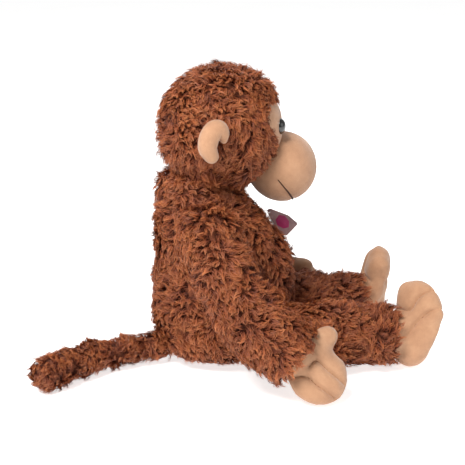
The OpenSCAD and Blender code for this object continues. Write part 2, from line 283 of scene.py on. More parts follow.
# %% Waves that vary a shape
def waves(points, size, seed, count=9):
    """Smooth random numbers, about -1 to 1, that change over the given size in metres."""
    dice = np.random.default_rng(seed)
    way = dice.normal(size=(count, 3))
    way /= np.linalg.norm(way, axis=1, keepdims=True) * size / 2.2
    start = dice.random(count) * 2 * math.pi
    return np.sin(np.asarray(points) @ way.T + start).sum(-1) / math.sqrt(count) / 1.1


def unit(v):
    return v / np.maximum(np.linalg.norm(v, axis=-1, keepdims=True), 1e-9)


# %% Rings
RING = 48


def rings_along(line, radii, up):
    """Rings round a line: radii gives the half width and half height at each point."""
    line, radii = np.asarray(line, float), np.asarray(radii, float)
    ahead = unit(np.gradient(line, axis=0))
    side = unit(np.cross(up, ahead))
    top = np.cross(ahead, side)
    turn = np.linspace(0, 2 * math.pi, RING, endpoint=False)[None, :, None]
    return (line[:, None] + side[:, None] * np.cos(turn) * radii[:, None, :1]
            + top[:, None] * np.sin(turn) * radii[:, None, 1:])


def with_round_ends(line, radii, start=True, end=True, steps=7):
    """The line and radii with half a ball added at either end."""
    line, radii = np.asarray(line, float), np.asarray(radii, float)
    bend = np.linspace(0.04, 1, steps, endpoint=False) * math.pi / 2
    if start:
        back = unit(line[0] - line[1])
        reach = radii[0].mean()
        line = np.vstack([line[0] + back * reach * np.cos(bend)[:, None], line])
        radii = np.vstack([radii[0] * np.sin(bend)[:, None], radii])
    if end:
        on = unit(line[-1] - line[-2])
        reach = radii[-1].mean()
        line = np.vstack([line, line[-1] + on * reach * np.cos(bend[::-1])[:, None]])
        radii = np.vstack([radii, radii[-1] * np.sin(bend[::-1])[:, None]])
    return line, radii


def ring_normals(rings):
    along = np.gradient(rings, axis=0)
    around = np.roll(rings, -1, axis=1) - np.roll(rings, 1, axis=1)
    return unit(np.cross(around, along))


def swollen(rings, amount, size, seed):
    """The rings moved out and in by a smooth random amount."""
    return rings + ring_normals(rings) * (waves(rings, size, seed) * amount)[..., None]


# %% Meshes from arrays
def mesh_object(name, points, faces, paint):
    mesh = bpy.data.meshes.new(name)
    mesh.from_pydata(np.asarray(points).reshape(-1, 3).tolist(), [], faces)
    mesh.polygons.foreach_set("use_smooth", [True] * len(mesh.polygons))
    mesh.materials.append(PAINTS[paint])
    made = bpy.data.objects.new(name, mesh)
    scene.collection.objects.link(made)
    return made


def ring_faces(count, width=RING, ends=True):
    faces = [(r * width + i, r * width + (i + 1) % width, (r + 1) * width + (i + 1) % width,
              (r + 1) * width + i) for r in range(count - 1) for i in range(width)]
    if ends:
        faces.append(tuple(range(width - 1, -1, -1)))
        faces.append(tuple((count - 1) * width + i for i in range(width)))
    return faces


def skin_object(name, rings, paint):
    """A closed cloth shape from rings."""
    return mesh_object(name, rings, ring_faces(len(rings)), paint)


def fit(piece, body, slot, *nodes, fill=None):
    """Gives a piece its body and hides the nodes that it stands for; its finish, slot, is not used."""
    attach(piece, body)
    if nodes:
        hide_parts(*nodes)


# %% [markdown]
# ## Growing fur
# Plush fur is a pile of fibres that stick together in wavy locks. Blender's hair would look right
# but doesn't travel with an exported model, so each fibre is a narrow ribbon of real faces. A lock
# rises from its root, lies over along the comb and swings from side to side; its fibres start
# apart and come together at the tip.

# %% Scatter roots
STEPS = 6
# No fibre and no mitt goes lower than this.
FLOOR_GAP = 0.0007
# How far the combing turns towards the middle of the nearest clump.
CLUMPING = 1.5


def scatter(rings, count, dice):
    """Roots spread evenly over the rings' area, with the way out and the way along."""
    normals = ring_normals(rings)
    along = unit(np.gradient(rings, axis=0))
    a, b = rings[:-1], rings[1:]
    c = np.roll(rings, -1, axis=1)[:-1]
    area = np.linalg.norm(np.cross(b - a, c - a), axis=-1).ravel()
    cell = dice.choice(len(area), count, p=area / area.sum())
    row, column = np.divmod(cell, RING)
    u, v = dice.random((2, count, 1))
    after = (column + 1) % RING

    def blend(grid):
        near = grid[row, column] * (1 - u) + grid[row + 1, column] * u
        far = grid[row, after] * (1 - u) + grid[row + 1, after] * u
        return near * (1 - v) + far * v

    return blend(rings), unit(blend(normals)), unit(blend(along))


# %% Grow locks
def grow(roots, out, comb, length, dice, fibres=10, width=0.62):
    """Ribbons as points [lock, fibre, step, edge, xyz], with their place along the fibre."""
    count = len(roots)
    gather = np.stack([waves(roots + step, 0.013, 15) - waves(roots - step, 0.013, 15)
                       for step in np.eye(3) * 0.002], 1)
    comb = unit(comb - out * (comb * out).sum(-1, keepdims=True)) + CLUMPING * gather
    comb = unit(comb - out * (comb * out).sum(-1, keepdims=True))
    side = np.cross(out, comb)
    swirl = (1.15 * waves(roots, 0.020, 11) + 0.6 * waves(roots, 0.007, 12)
             + 0.25 * dice.normal(size=count))[:, None]
    comb, side = comb * np.cos(swirl) + side * np.sin(swirl), side * np.cos(swirl) - comb * np.sin(swirl)
    phase = dice.random((count, 1)) * 2 * math.pi
    beat = dice.uniform(0.8, 1.7, (count, 1))
    curl = dice.uniform(0.45, 1.15, (count, 1))
    rise = (1 + 0.55 * waves(roots, 0.011, 13) + 0.15 * dice.normal(size=count))[:, None]
    length = (length * dice.uniform(0.75, 1.2, count) * (1 + 0.12 * waves(roots, 0.009, 14)))[:, None]
    path = [roots]
    for step in range(STEPS):
        s = (step + 0.5) / STEPS
        swing = phase + beat * s * 2 * math.pi
        heading = unit(out * (rise * 1.5 * (1 - s) ** 1.4 - 0.1 * s + 0.3 * curl * np.cos(swing))
                       + comb * (0.3 + 0.7 * s) + side * curl * np.sin(swing) * 0.9)
        path.append(path[-1] + heading * length / STEPS)
    path = np.stack(path, 1)
    s = np.linspace(0, 1, STEPS + 1)
    spread = MM * (2.0 + 0.5 * np.sin(math.pi * s) - 1.6 * s ** 1.6)
    apart = dice.normal(size=(count, fibres, 3)) * 0.62
    apart -= out[:, None] * (apart * out[:, None]).sum(-1, keepdims=True) * 0.5
    wobble = dice.random((count, fibres, 1)) * 2 * math.pi
    own = np.sin(wobble + s * 7.0)[..., None] * side[:, None, None] * 0.35 * MM
    reach = dice.uniform(0.66, 1.0, (count, fibres, 1, 1))
    fibre = (roots[:, None, None] + (path[:, None] - roots[:, None, None]) * reach
             + apart[:, :, None] * spread[:, None] + own)
    fibre[..., 2] = np.maximum(fibre[..., 2], FLOOR_GAP)
    ahead = unit(np.gradient(fibre, axis=2))
    face = unit(out[:, None] + 0.55 * dice.normal(size=(count, fibres, 3)))[:, :, None]
    across = unit(np.cross(ahead, face))
    half = width * MM / 2 * np.array([0.8, 1.0, 1.0, 0.95, 0.8, 0.55, 0.12])[:, None]
    return np.stack([fibre - across * half, fibre + across * half], 3)


# %% Fur objects
def fur_object(name, ribbons, dice):
    locks, fibres = ribbons.shape[:2]
    strands = locks * fibres
    rows = STEPS + 1
    corner = np.array([0, 1, 3, 2])[None, None] + 2 * np.arange(STEPS)[None, :, None]
    quads = (corner + np.arange(strands)[:, None, None] * rows * 2).reshape(-1, 4)
    mesh = bpy.data.meshes.new(name)
    mesh.vertices.add(strands * rows * 2)
    mesh.vertices.foreach_set("co", ribbons.astype(np.float32).ravel())
    mesh.loops.add(quads.size)
    mesh.loops.foreach_set("vertex_index", quads.ravel().astype(np.int32))
    mesh.polygons.add(len(quads))
    mesh.polygons.foreach_set("loop_start", np.arange(0, quads.size, 4, dtype=np.int32))
    mesh.polygons.foreach_set("use_smooth", np.ones(len(quads), bool))
    mesh.update(calc_edges=True)
    tone = dice.normal(0.5, 0.2, (locks, 1)) + dice.normal(0, 0.09, (locks, fibres))
    s = np.linspace(0, 1, rows)
    for label, value in (("tip", np.broadcast_to(s[None, :, None], (strands, rows, 2))),
                         ("tone", np.broadcast_to(tone.reshape(-1, 1, 1), (strands, rows, 2)))):
        layer = mesh.attributes.new(label, "FLOAT", "POINT")
        layer.data.foreach_set("value", value.astype(np.float32).ravel())
    mesh.materials.append(PAINTS["fur"])
    made = bpy.data.objects.new(name, mesh)
    scene.collection.objects.link(made)
    print(name, locks, "locks,", len(quads), "faces")
    return made


HALVES = {"_inner": lambda p: p[:, 1] * np.sign(p[:, 1].mean() + 1e-6) < np.abs(np.median(p[:, 1])),
          "_outer": lambda p: p[:, 1] * np.sign(p[:, 1].mean() + 1e-6) >= np.abs(np.median(p[:, 1]))}


def fur_coat(name, body, rings, per_cm2, length, seed, comb=None, keep=None, panels=None):
    """Covers the rings in fur and returns its pieces: one for each sewn panel, or an inner and an outer
    half.
    """
    dice = np.random.default_rng(seed)
    a, b = np.diff(rings, axis=0)[:, :], np.roll(rings, -1, axis=1)[:-1] - rings[:-1]
    area = np.linalg.norm(np.cross(a, b), axis=-1).sum()
    share = 1.0
    roots, out, along = scatter(rings, int(area * 1e4 * per_cm2 * share), dice)
    comb = along if comb is None else comb(roots)
    kept = np.ones(len(roots), bool) if keep is None else keep(roots)
    pile = length(roots) if callable(length) else np.full(len(roots), length * MM)
    pieces = []
    for label, inside in (panels or HALVES).items():
        chosen = kept & inside(roots)
        ribbons = grow(roots[chosen], out[chosen], comb[chosen], pile[chosen], dice)
        piece = fur_object(name + label, ribbons, dice)
        fit(piece, body, "long_pile_fur")
        pieces.append(piece)
    return pieces


# %% [markdown]
# ## Body
# The body is a pear that leans back a little and sits flat. Its cloth is sewn from four panels,
# which are also the four pieces of its fur. Inside are the fibre filling and a pouch of pellets
# that keeps the toy upright.

# %% Body cloth
DEEP, WIDE = 0.070, 0.056
BACKING_DEPTH = 0.0072
BODY = np.array([
    [0.0072, 0, 0.66, 0.68], [0.016, 0, 0.86, 0.89], [0.034, 0, 0.97, 0.98],
    [0.056, 0.5, 1.01, 1.01], [0.080, 1, 1.01, 1.0], [0.104, 0, 0.98, 0.97],
    [0.126, -6, 0.88, 0.92], [0.147, -13, 0.77, 0.86], [0.163, -19, 0.66, 0.76],
    [0.175, -25, 0.56, 0.62], [0.186, -29, 0.46, 0.50], [0.193, -32, 0.32, 0.36]])


def smooth_rows(rows, count):
    """Rows resampled on a smooth curve through them (Catmull-Rom)."""
    rows = np.asarray(rows, float)
    padded = np.vstack([2 * rows[0] - rows[1], rows, 2 * rows[-1] - rows[-2]])
    t = np.linspace(0, len(rows) - 1, count)
    i = np.minimum(t.astype(int), len(rows) - 2)
    f = (t - i)[:, None]
    p0, p1, p2, p3 = padded[i], padded[i + 1], padded[i + 2], padded[i + 3]
    return 0.5 * (2 * p1 + (p2 - p0) * f + (2 * p0 - 5 * p1 + 4 * p2 - p3) * f ** 2
                  + (3 * p1 - p0 - 3 * p2 + p3) * f ** 3)


body_rows = smooth_rows(BODY, 40)[::-1]
body_line = np.stack([body_rows[:, 1] * MM, 0 * body_rows[:, 1], body_rows[:, 0]], 1)
turn = np.linspace(0, 2 * math.pi, RING, endpoint=False)[None, :, None]
body_rings = (body_line[:, None]
              + np.array([1.0, 0, 0]) * np.cos(turn)
              * (body_rows[:, 2] * DEEP - BACKING_DEPTH)[:, None, None]
              - np.array([0, 1.0, 0]) * np.sin(turn)
              * (body_rows[:, 3] * WIDE - BACKING_DEPTH)[:, None, None])
body_rings[1:-1] = swollen(body_rings, 0.0012, 0.045, 3)[1:-1]
body_rings[..., 2] = np.maximum(body_rings[..., 2], 0.006)
body_skin = skin_object("body_cloth", body_rings, "backing")
fit(body_skin, "torso", "long_pile_fur", "torso_cover", fill=0.9)
print("body cloth", [round(v, 3) for v in body_skin.dimensions])

# %% Body fur
HEAD = np.array([-0.001, 0, 0.232])


def body_side(points):
    return np.degrees(np.arctan2(points[:, 1] / WIDE, (points[:, 0] + 0.006) / DEEP))


def body_pile(points):
    """Pile is pressed short under the seat."""
    return MM * np.interp(points[:, 2], [0.0065, 0.012, 0.03], [3.0, 8.0, 14.5])


body_panels = {
    "_front": lambda p: np.abs(body_side(p)) < 45,
    "_back": lambda p: np.abs(body_side(p)) >= 135,
    "_right": lambda p: (body_side(p) < -45) & (body_side(p) >= -135),
    "_left": lambda p: (body_side(p) >= 45) & (body_side(p) < 135),
}
fur_coat("body_fur", "torso", body_rings, 9.5, body_pile, 21,
         comb=lambda p: np.array([0.0, 0, -1.0]) + 0 * p, panels=body_panels,
         keep=lambda p: np.linalg.norm(p - HEAD, axis=1) > 0.050)

# %% Body filling, pellet pouch and neck
body_filling = skin_object("body_filling", swollen(
    body_rings - ring_normals(body_rings) * 0.0022, 0.0008, 0.02, 5)[1:-1], "filling")
fit(body_filling, "torso", "fibre_filling", "torso_stuffing", fill=0.9)
low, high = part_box("bean_pouch")
middle, half = (low + high) / 2, (high - low) / 2
slope = np.linspace(-1, 1, 15) * math.pi / 2 * 0.97
pouch_line = np.stack([middle.x + 0 * slope, 0 * slope, middle.z + half.z * np.sin(slope)], 1)
pouch_radii = np.stack([half.y * np.cos(slope) ** 0.7, half.x * np.cos(slope) ** 0.7], 1)
pouch = skin_object("pellet_pouch", swollen(rings_along(pouch_line, pouch_radii, (1.0, 0, 0)),
                                            0.0008, 0.012, 6), "bean cloth")
fit(pouch, "torso", "bean_cloth", "bean_pouch", fill=0.5)
low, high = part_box("neck_stuffing")
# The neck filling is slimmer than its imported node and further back, to stay inside the body cloth.
NECK_BACK, NECK_SHARE, NECK_TOP = 0.011, 0.72, 0.184
neck_line = np.linspace((HEAD[0] - NECK_BACK, 0, low.z), (HEAD[0] - NECK_BACK, 0, NECK_TOP), 9)
neck_rings = rings_along(neck_line, np.full((9, 2), high.y * NECK_SHARE), (1.0, 0, 0))
neck = skin_object("neck_filling", swollen(neck_rings, 0.0006, 0.015, 8), "filling")
fit(neck, "neck", "fibre_filling", "neck_stuffing", fill=0.9)

# %% [markdown]
# ## Arms, legs and tail
# Each is a sleeve of fur round a bent line, closed by a ball where it is sewn into the body. The
# arms bow forwards, the legs lie nearly straight and the tail curls round to the right.

# %% Lines of the limbs
ARM_BOW, ARM_LONG, ARM_LEAN = 0.188, 0.137, math.radians(23)
SHOULDER = {"right": (-0.025, -0.069, 0.148), "left": (-0.004, 0.069, 0.148)}
ARM_START = {"right": math.radians(9), "left": math.radians(20)}
HIP = {"right": (0.034, -0.048, 0.037), "left": (0.034, 0.046, 0.038)}
LEG_TURN = {"right": math.radians(-6), "left": math.radians(-1)}
LEG_LONG, LEG_DROP = 0.122, math.radians(2)
TAIL_ROOT, TAIL_BOW, TAIL_LONG = np.array([-0.058, 0, 0.018]), 0.170, 0.130


def arm_line(side, count=22, share=1.0):
    t = ARM_START[side] + ARM_LONG / ARM_BOW * np.linspace(0, share, count)
    x, z = math.cos(ARM_START[side]) - np.cos(t), math.sin(ARM_START[side]) - np.sin(t)
    lean = SIDES[side] * ARM_LEAN
    turned = ARM_BOW * np.stack([x, -z * math.sin(lean), z * math.cos(lean)], 1)
    return np.array(SHOULDER[side]) + turned


def leg_line(side, count=18):
    way = np.array([math.cos(LEG_TURN[side]) * math.cos(LEG_DROP),
                    math.sin(LEG_TURN[side]) * math.cos(LEG_DROP), -math.sin(LEG_DROP)])
    return np.array(HIP[side]) + way * np.linspace(0, LEG_LONG, count)[:, None]


def tail_line(count=22):
    t = TAIL_LONG / TAIL_BOW * np.linspace(0, 1, count)
    return TAIL_ROOT + TAIL_BOW * np.stack([-np.sin(t), np.cos(t) - 1, 0 * t], 1)


# %% Sleeves
def sleeve(name, body, line, widths, up, seed, cover, stuffing, round_end=False,
           inset=BACKING_DEPTH):
    """The backing cloth and the filling of one limb. Returns the cloth's rings."""
    share = np.linspace(0, 1, len(line))
    radii = np.interp(share, np.linspace(0, 1, len(widths)), widths)[:, None] * MM - inset
    line, radii = with_round_ends(line, np.repeat(radii, 2, axis=1), end=round_end)
    rings = swollen(rings_along(line, radii, up), 0.0011, 0.03, seed)
    cloth = skin_object(name + "_cloth", rings, "backing")
    fit(cloth, body, "long_pile_fur", cover, fill=0.8)
    inner = (rings - ring_normals(rings) * 0.002)[1:-2]
    fit(skin_object(name + "_filling", inner, "filling"), body, "fibre_filling", stuffing, fill=0.8)
    return rings


limb_rings = {}
for side, sign in SIDES.items():
    arm, leg = "arm_" + side, "leg_" + side
    limb_rings[arm] = sleeve(arm, arm, arm_line(side), (30, 31, 32, 32.5, 31.5), (0.0, 1, 0),
                             31 + sign, "arm_cover_" + side, "arm_stuffing_" + side)
    limb_rings[leg] = sleeve(leg, leg, leg_line(side), (30, 31, 31, 31.5, 31.5, 31.5, 27, 30.5, 28),
                             (0.0, 0, 1),
                             41 + sign, "leg_cover_" + side, "leg_stuffing_" + side)
limb_rings["tail"] = sleeve("tail", "tail", tail_line(), (14, 15, 16.5, 18, 19), (0.0, 0, 1),
                            51, "tail_cover", "tail_stuffing", round_end=True, inset=0.0068)

# %% Limb fur
for number, (name, rings) in enumerate(limb_rings.items()):
    pile = 13.0 if name == "tail" else 15.0
    fur_coat(name + "_fur", name, rings, 11.0, pile, 60 + number)

# %% [markdown]
# ## Head
# The head is a ball of fur with a velour face let into its front. The pile runs down from the
# crown, so that it hangs over the brow and hides the seam of the face.

# %% Head cloth and filling
HEAD_RADIUS = 0.060
FACE_RADIUS = 0.0570
# How far the rim of the face is drawn in under the fur.
FACE_TUCK = 0.0058
MUZZLE = np.array([0.0594, 0, 0.1914])
MUZZLE_RADIUS = 0.034
FACE_ROUNDS = ((0.016, 0.008, 0.024), (-0.016, 0.008, 0.024), (0.0, -0.014, 0.027))


def ball_rings(centre, radius, axis, up, count=34, first=3.0):
    slope = np.radians(np.linspace(first, 180 - first, count))
    line = np.asarray(centre) - np.asarray(axis) * radius * np.cos(slope)[:, None]
    return rings_along(line, np.repeat(radius * np.sin(slope)[:, None], 2, 1), up)


head_rings = swollen(ball_rings(HEAD, HEAD_RADIUS - BACKING_DEPTH, (1.0, 0, 0), (0.0, 0, 1)),
                     0.0012, 0.04, 9)
head_cloth = skin_object("head_cloth", head_rings, "backing")
fit(head_cloth, "head", "long_pile_fur", "head_cover", fill=0.9)
inner = swollen(head_rings - ring_normals(head_rings) * 0.0022, 0.0006, 0.02, 10)[1:-1]
fit(skin_object("head_filling", inner, "filling"), "head", "fibre_filling", "head_stuffing", fill=0.9)


# %% Head fur
def in_face(points, extra=0.0):
    """How far inside the outline of the face a point is, seen from the front."""
    y, z = points[..., 1] - HEAD[1], points[..., 2] - HEAD[2]
    inside = np.max([r + extra - np.hypot(y - cy, z - cz) for cy, cz, r in FACE_ROUNDS], axis=0)
    return np.where(points[..., 0] > HEAD[0] + 0.01, inside, -1.0)


def from_crown(points):
    """Away from the crown, which sits a little behind the top."""
    return points - (HEAD + np.array([-0.3, 0, 1.3]) * HEAD_RADIUS)


def on_head(points):
    off_muzzle = np.linalg.norm(points - MUZZLE, axis=1) > MUZZLE_RADIUS + 0.002
    return off_muzzle & (in_face(points, -0.0040) < 0)


head_panels = {
    "_right": lambda p: p[:, 1] < -0.022,
    "_left": lambda p: p[:, 1] > 0.022,
    "_middle": lambda p: np.abs(p[:, 1]) <= 0.022,
}
BROW_PILE, NAPE_PILE = 4.5, 5.0


def head_pile(points):
    """Longer over the brow and down the nape, shorter round the face."""
    off = points - HEAD
    brow = np.clip(off[:, 0] / 0.04, 0, 1) * np.clip(off[:, 2] / 0.03, 0, 1)
    nape = np.clip(-off[:, 0] / 0.03, 0, 1) * np.clip(-off[:, 2] / 0.03, 0, 1)
    return MM * (np.interp(in_face(points), [-0.012, -0.002], [15.0, 11.5])
                 + BROW_PILE * brow + NAPE_PILE * nape)


fur_coat("head_fur", "head", head_rings, 11.0, head_pile, 71,
         comb=from_crown, keep=on_head, panels=head_panels)

# %% Face
FACE_RINGS, FACE_TURNS = 16, 72
turns = np.linspace(0, 2 * math.pi, FACE_TURNS, endpoint=False)
rays = np.stack([0 * turns, np.cos(turns), np.sin(turns)], 1)
steps = np.linspace(0, 0.050, 400)[:, None]
start = HEAD + np.array([0.05, 0, -0.004])
reach = np.array([steps[in_face(start + ray * steps, 0.001) > 0].max() for ray in rays])
share = np.linspace(0.02, 1, FACE_RINGS)[:, None]
face_points = HEAD + np.array([0, 0, -0.004]) + rays * (reach * share)[..., None]
off = face_points - HEAD
dip = sum(np.exp(-(np.hypot(off[..., 1] - s * 0.017, off[..., 2] - 0.003) / 0.009) ** 2)
          for s in (1, -1))
tucked = FACE_RADIUS + 0.0008 - FACE_TUCK * share ** 4
round_part = tucked ** 2 - off[..., 1] ** 2 - off[..., 2] ** 2
face_points[..., 0] = HEAD[0] + np.sqrt(np.maximum(round_part, 0)) - 0.0016 * dip
face_faces = ring_faces(FACE_RINGS, FACE_TURNS, ends=False)
face_faces.append(tuple(range(FACE_TURNS - 1, -1, -1)))
face = mesh_object("face", face_points, face_faces, "velour")
thick = face.modifiers.new("cloth", "SOLIDIFY")
thick.thickness = 0.0016
fine = face.modifiers.new("fine", "SUBSURF")
fine.levels = fine.render_levels = 1
fit(face, "head", "velour", "face_panel", fill=0.9)

# %% [markdown]
# ## Muzzle and mouth
# The muzzle is a tight velour ball. The mouth is one line of embroidery that pulls the cloth in,
# and a faint dart seam runs on from each of its ends.

# %% Muzzle
MOUTH_LEVEL, MOUTH_SLOPE = 0.013, math.radians(50)
mouth_down = np.array([-math.sin(MOUTH_SLOPE), 0, -math.cos(MOUTH_SLOPE)])
mouth_on = np.array([math.cos(MOUTH_SLOPE), 0, -math.sin(MOUTH_SLOPE)])


def mouth_points(count, lift=0.0):
    """The mouth line on the muzzle, from one cheek under the chin to the other."""
    angle = np.radians(np.linspace(-96, 96, count))[:, None]
    flat = math.sqrt((MUZZLE_RADIUS + lift) ** 2 - MOUTH_LEVEL ** 2)
    across = mouth_on * np.cos(angle) + np.array([0, 1.0, 0]) * np.sin(angle)
    return MUZZLE + mouth_down * MOUTH_LEVEL + flat * across


def dent(points, line, depth, width):
    """Points moved towards the muzzle's middle near a line."""
    near = np.min(np.linalg.norm(points[..., None, :] - line, axis=-1), axis=-1)
    return points + unit(MUZZLE - points) * (depth * np.exp(-(near / width) ** 2))[..., None]


muzzle_rings = ball_rings(MUZZLE, MUZZLE_RADIUS, unit(MUZZLE - HEAD), (0.0, 1, 0), 96, 1.0)
muzzle_rings = dent(swollen(muzzle_rings, 0.0004, 0.02, 15), mouth_points(60), 0.0011, 0.0022)
for s in (-1, 1):
    end = mouth_points(2)[0 if s < 0 else 1]
    dart = np.linspace(end, MUZZLE + np.array([-0.0253, s * 0.0205, 0.0098]), 20)
    dart = MUZZLE + unit(dart - MUZZLE) * MUZZLE_RADIUS
    muzzle_rings = dent(muzzle_rings, dart, 0.0005, 0.0012)
fit(skin_object("muzzle", muzzle_rings, "velour"), "head", "velour", "muzzle_cover", fill=1.0)
inner = (muzzle_rings - ring_normals(muzzle_rings) * 0.002)[8:-4:4]
fit(skin_object("muzzle_filling", inner, "filling"), "head", "fibre_filling", "muzzle_stuffing",
    fill=1.0)


# %% Thread
def stitches(name, runs, radius, body, slot, paint, *nodes):
    """Thin tubes along runs of points, drawn out to a point at both ends."""
    points, faces, start = [], [], 0
    turn = np.linspace(0, 2 * math.pi, 8, endpoint=False)[None, :, None]
    for run in runs:
        run = np.asarray(run)
        taper = np.sin(np.linspace(0.1, math.pi - 0.1, len(run)))[:, None, None] ** 0.35
        ahead = unit(np.gradient(run, axis=0))
        side = unit(np.cross(ahead, (0.31, 0.52, 0.79)))
        top = np.cross(side, ahead)
        tube = run[:, None] + radius * taper * (side[:, None] * np.cos(turn)
                                                + top[:, None] * np.sin(turn))
        points.append(tube.reshape(-1, 3))
        faces += [tuple(i + start for i in f) for f in ring_faces(len(run), 8)]
        start += len(run) * 8
    thread = mesh_object(name, np.vstack(points), faces, paint)
    fit(thread, body, slot, *nodes)
    return thread


stitches("mouth_thread", [mouth_points(90, -0.0006)], 0.0009, "head", "thread", "thread",
         "mouth_stitching")

# %% [markdown]
# ## Eyes
# A safety eye is a domed button with a rim; its shank goes through the face and a washer locks it
# from behind, inside the head.


# %% Eyes and washers
def turned(name, at, out, profile, paint, closed=False):
    """A part turned on a lathe: profile rows are (place along out, radius)."""
    profile = np.array(profile)
    side = unit(np.cross(out, (0.0, 0, 1)))
    top = np.cross(side, out)
    turn = np.linspace(0, 2 * math.pi, RING, endpoint=False)[None, :, None]
    rings = (at + out * profile[:, :1])[:, None] + profile[:, 1, None, None] * (
        side[:, None].T * np.cos(turn) + top[:, None].T * np.sin(turn))
    if closed:
        faces = ring_faces(len(rings) + 1, ends=False)
        faces = [tuple(i % (len(rings) * RING) for i in f) for f in faces]
    else:
        faces = ring_faces(len(rings))
    return mesh_object(name, rings, faces, paint)


EYE_AHEAD, EYE_OUT, EYE_UP = 0.905, 0.40, 0.05
for side, sign in SIDES.items():
    out = unit(np.array([EYE_AHEAD, sign * EYE_OUT, EYE_UP]))
    at = HEAD + out * (FACE_RADIUS - 0.0008)
    shank = [(-0.0110, 0.0018), (-0.0006, 0.0019)]
    dome = smooth_rows([(0.0, 0.0066), (0.0004, 0.0073), (0.0012, 0.0075), (0.0023, 0.0072),
                        (0.0037, 0.0062), (0.0049, 0.0049), (0.0057, 0.0032), (0.0061, 0.0014),
                        (0.0062, 0.0002)], 40)
    eye = turned("eye_button_" + side, at, out, np.vstack([shank, dome]), "eye")
    fit(eye, "head", "eye_plastic", "eye_" + side)
    washer = turned("eye_lock_" + side, at, out, [
        (-0.0062, 0.0021), (-0.0062, 0.0078), (-0.0058, 0.0085), (-0.0046, 0.0085),
        (-0.0042, 0.0078), (-0.0042, 0.0045), (-0.0030, 0.0040), (-0.0030, 0.0021)][::-1],
        "washer", closed=True)
    fit(washer, "head", "washer_nylon", "eye_washer_" + side)

# %% [markdown]
# ## Ears
# Each ear is a padded velour crescent: it starts wide at the bottom, curls up and back, and folds
# over into a small lobe at the front. Its inner edge is sewn to the head.

# %% Ears
EAR = smooth_rows([(-24.0, 220.0, 7.0), (-27.0, 227.0, 8.6), (-26.0, 235.5, 9.2), (-21.5, 242.5, 9.0),
                   (-16.5, 243.5, 7.8), (-13.2, 240.0, 6.2), (-12.6, 236.8, 5.0)], 30) * MM
for side, sign in SIDES.items():
    curl = np.linspace(0, 1, len(EAR))
    out = 0.0655 + 0.004 * np.sin(curl * math.pi) - 0.003 * curl
    line = np.column_stack([EAR[:, 0], sign * out, EAR[:, 1]])
    radii = np.column_stack([EAR[:, 2], np.full(len(EAR), 0.0085)])
    rings = rings_along(*with_round_ends(line, radii, steps=8), (0.0, 1.0, 0))
    ear = skin_object("ear_flap_" + side, swollen(rings, 0.0003, 0.012, 17), "velour")
    fit(ear, "ear_" + side, "velour", "ear_" + side, fill=0.7)

# %% [markdown]
# ## Hands and feet
# Hands and feet are mitts of two velour faces. They are stuffed first, and then lines of stitches
# through both faces part the fingers. So each starts as fused fingers and pads, is puffed out by a
# short cloth simulation, and is then drawn in along the stitches.

# %% Shapes of hand and foot
FINGERS = (((11, 15), (21, 30), 10.5), ((18, 6), (38, 4), 11.5), ((18, -3), (42, -9), 11.5),
           ((14, -10), (33, -19), 11.5))
TOES = (((14, 10), (36, 14), 11), ((20, 4), (41, 2), 11.5), ((18, -4), (37, -10), 12),
        ((12, -10), (27, -20), 12))
HAND_PADS = (((16, -1, 0), (25, 25, 14)), ((0, 0, 0), (20, 20, 18)), ((26, -8, 0), (29, 26, 12)))
FOOT_PADS = (((14, -4, 0), (25, 25, 14)), ((-10, -3, 0), (24, 23, 15)), ((12, -4, 0), (40, 28, 12)),
             ((-5.5, 9, 16), (19, 19, 19)))
HAND_WAYS = {"right": ((0.85, -0.32, -0.39), (-0.12, -0.82, 0.56)),
             "left": ((0.93, 0.05, -0.36), (0.28, 0.45, 0.85))}
FOOT_WAYS = {"right": ((0.22, 0.02, 0.97), (-0.88, -0.44, 0.16)),
             "left": ((0.16, -0.02, 0.98), (-0.96, 0.20, 0.16))}


def facing(fwd, up, sign):
    """Columns that turn local x, y, z into the frame."""
    x = unit(np.array(fwd))
    y = unit(np.cross(up, x))
    return np.column_stack([x, -sign * y, np.cross(x, y)])


def lump(centre, half):
    slope = np.radians(np.linspace(2, 178, 16))[:, None, None]
    turn = np.linspace(0, 2 * math.pi, RING, endpoint=False)[None, :, None]
    ball = np.concatenate([-np.cos(slope) + 0 * turn, np.sin(slope) * np.cos(turn),
                           np.sin(slope) * np.sin(turn)], axis=2)
    return np.array(centre) + ball * np.array(half)


def capsule(a, b, radius):
    line = np.linspace((*a, 0), (*b, 0), 10)
    return rings_along(*with_round_ends(line, np.full((10, 2), radius)), (0.0, 0, 1))


# %% Digit stitches
SEAMS = {"hand": (((15, -5), (19, 2), (33, -1.6), (51, -5.5)),
                  ((-1, -24), (15, -14.5), (30, -18), (48, -20.5))),
         "foot": (((51, -18), (37, -6.5), (23, -2), (18, 15)),
                  ((38, -34), (26, -20), (12, -12), (0, -9)))}


def digit_seams(kind):
    """The stitched lines in the mitt's own plane, in millimetres."""
    return [smooth_rows(line, 40) for line in SEAMS[kind]]


# %% Make a mitt
def applied(piece, kind, **settings):
    step = piece.modifiers.new(kind, kind)
    for key, value in settings.items():
        setattr(step, key, value)
    bpy.context.view_layer.objects.active = piece
    bpy.ops.object.modifier_apply(modifier=step.name)


